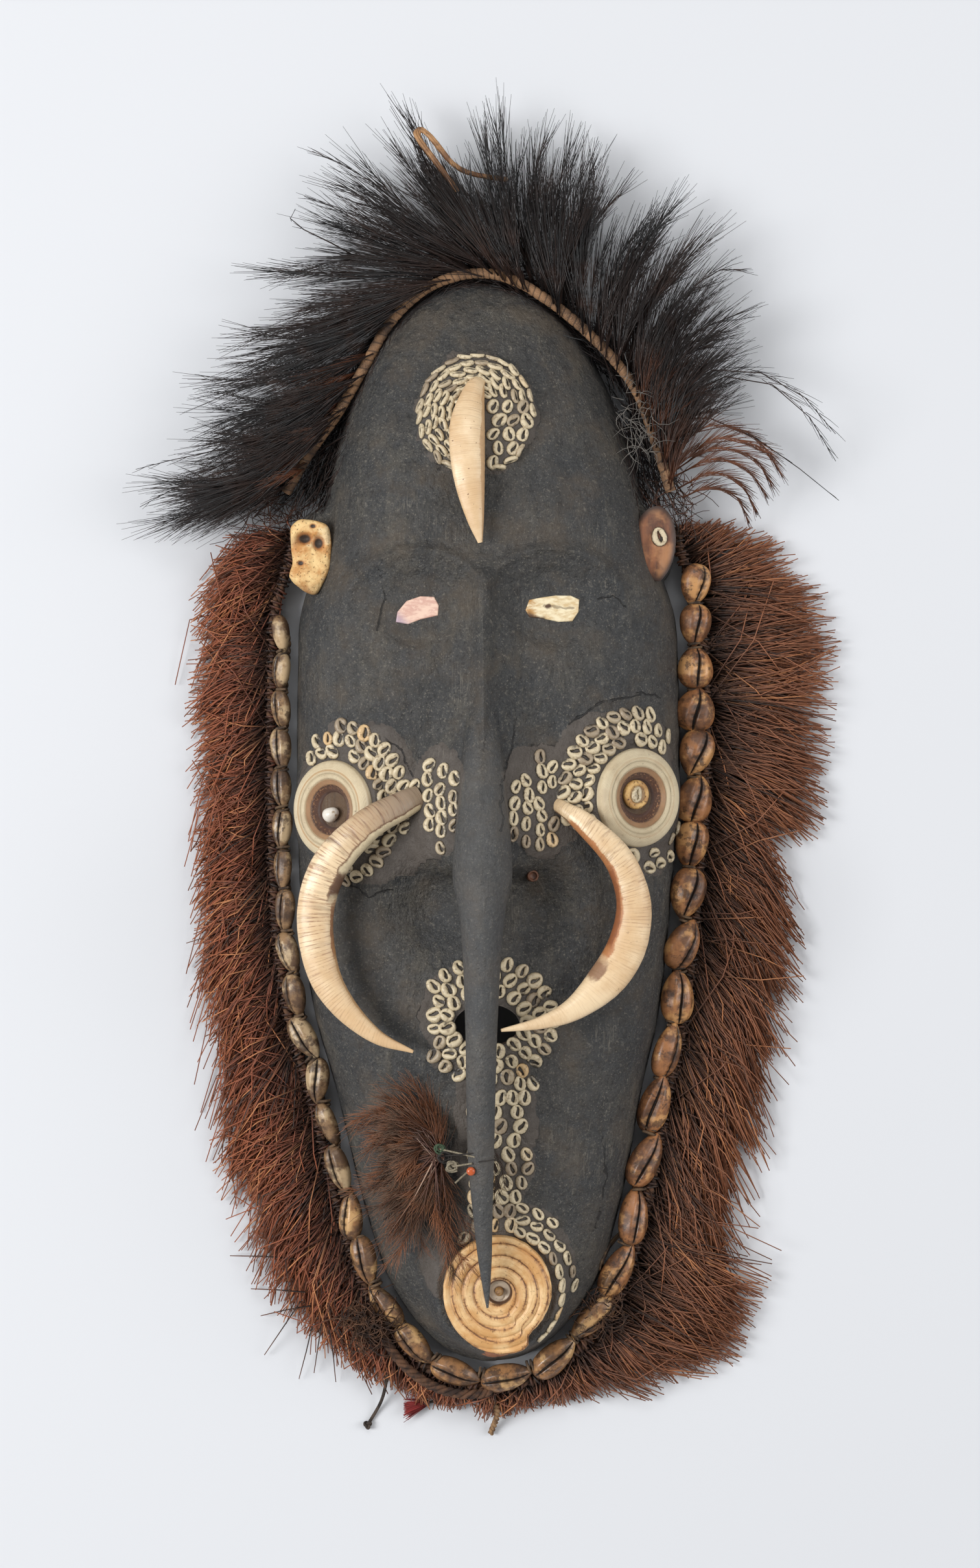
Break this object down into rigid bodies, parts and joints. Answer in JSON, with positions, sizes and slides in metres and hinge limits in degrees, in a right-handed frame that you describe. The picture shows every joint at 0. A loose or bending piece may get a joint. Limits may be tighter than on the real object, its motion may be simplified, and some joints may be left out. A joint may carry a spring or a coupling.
{
  "type": "face mask",
  "caption": "Long-nosed spirit face mask of clayed wood with boar tusks, shell discs, cowrie garland, fibre fringe and feather crown, lying on its back.",
  "frame": {"origin": "on the surface the mask lies on, under the middle of its overall box", "axes": "+X to the right of a person looking at the face, +Y up the face to the crown, +Z out of the face"},
  "size_m": [0.4691, 0.89, 0.1271],
  "materials": {
    "clayed_wood": "carved wood under a dry charcoal-grey clay skin, matt and dusty",
    "pink_shell": "pale pink polished shell, chipped at the edge",
    "ivory_shell": "yellowed ivory-coloured shell, satin",
    "tusk": "boar tusk, cream with brown growth lines, satin",
    "cone_shell": "ground cone shell, cream with ochre rings, satin",
    "white_bead": "white bead, satin",
    "bone": "old yellowed bone, matt",
    "brown_plaque": "brown worn wood, satin",
    "peg_wood": "dark brown peg, matt",
    "cowrie": "brown and tan cowrie, half glossy under dirt",
    "nassa": "small cream nassa shell, satin, dirt in its hollows",
    "fringe_fibre": "dry reddish-brown plant fibre",
    "hoop_bark": "cane hoop bound with brown bark strip",
    "feather": "hair-like black feathers, brown at the root",
    "split_cane": "light brown split cane",
    "tassel_feather": "rust-brown downy feathers",
    "dark_string": "thin dark string",
    "twisted_cord": "two-ply twisted light brown cord",
    "red_fibre": "small tuft of red fibre"
  },
  "bodies": {
    "root": {"mask": "clayed_wood", "eye_inlay_left": "pink_shell", "eye_inlay_right": "ivory_shell", "forehead_tusk": "tusk", "cheek_tusk_left": "tusk", "cheek_tusk_right": "tusk", "cheek_disc_left": "cone_shell", "cheek_disc_right": "cone_shell", "cheek_bead_left": "white_bead", "cheek_disc_right_inner": "cone_shell", "chin_disc": "cone_shell", "ear_bone_left": "bone", "ear_plaque_right": "brown_plaque", "nostril_peg": "peg_wood", "garland_shell_01": "cowrie", "garland_shell_02": "cowrie", "garland_shell_03": "cowrie", "garland_shell_04": "cowrie", "garland_shell_05": "cowrie", "garland_shell_06": "cowrie", "garland_shell_07": "cowrie", "garland_shell_08": "cowrie", "garland_shell_09": "cowrie", "garland_shell_10": "cowrie", "garland_shell_11": "cowrie", "garland_shell_12": "cowrie", "garland_shell_13": "cowrie", "garland_shell_14": "cowrie", "garland_shell_15": "cowrie", "garland_shell_16": "cowrie", "garland_shell_17": "cowrie", "garland_shell_18": "cowrie", "garland_shell_19": "cowrie", "garland_shell_20": "cowrie", "garland_shell_21": "cowrie", "garland_shell_22": "cowrie", "garland_shell_23": "cowrie", "garland_shell_24": "cowrie", "garland_shell_25": "cowrie", "garland_shell_26": "cowrie", "garland_shell_27": "cowrie", "garland_shell_28": "cowrie", "garland_shell_29": "cowrie", "garland_shell_30": "cowrie", "garland_shell_31": "cowrie", "garland_shell_32": "cowrie", "garland_shell_33": "cowrie", "garland_shell_34": "cowrie", "garland_shell_35": "cowrie", "garland_shell_36": "cowrie", "garland_shell_37": "cowrie", "fringe_left": "fringe_fibre", "fringe_bottom": "fringe_fibre", "fringe_right": "fringe_fibre", "crown_hoop": "hoop_bark", "crown_feathers": "feather", "cane_loop": "split_cane", "nose_tassel": "tassel_feather", "string_tail_dark": "dark_string", "string_tail_twisted": "twisted_cord"}
  },
  "joints": []
}
